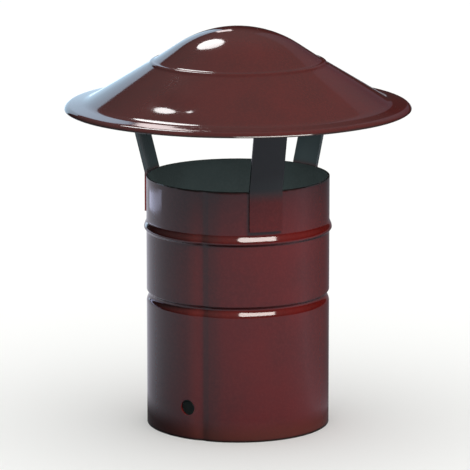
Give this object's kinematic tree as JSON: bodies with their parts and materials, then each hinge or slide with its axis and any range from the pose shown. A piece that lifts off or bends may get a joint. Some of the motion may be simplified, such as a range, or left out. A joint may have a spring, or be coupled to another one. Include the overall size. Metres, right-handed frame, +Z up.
{
  "type": "rain-capped flue terminal (chimney cowl)",
  "caption": "Short enamelled steel flue tube with a bead and a groove, topped by a domed rain cap held above its open mouth by leaning flat straps.",
  "frame": {"origin": "middle of the tube's bottom end", "axes": "+Z up along the tube, towards the cap's crown; -Y is the side that faces the viewer, with one strap a little to the right of it and the fixing hole to the left; +X to the viewer's right"},
  "size_m": [0.2266, 0.2266, 0.2629],
  "materials": {
    "oxblood_enamel": "glossy vitreous enamel, dark red-brown, on sheet steel",
    "ground_coat_enamel": "thin dark vitreous ground coat on steel strip"
  },
  "bodies": {
    "root": {"flue_tube": "oxblood_enamel", "rain_cap": "oxblood_enamel", "strap_front": "ground_coat_enamel", "strap_rear": "ground_coat_enamel", "strap_left": "ground_coat_enamel"}
  },
  "joints": []
}
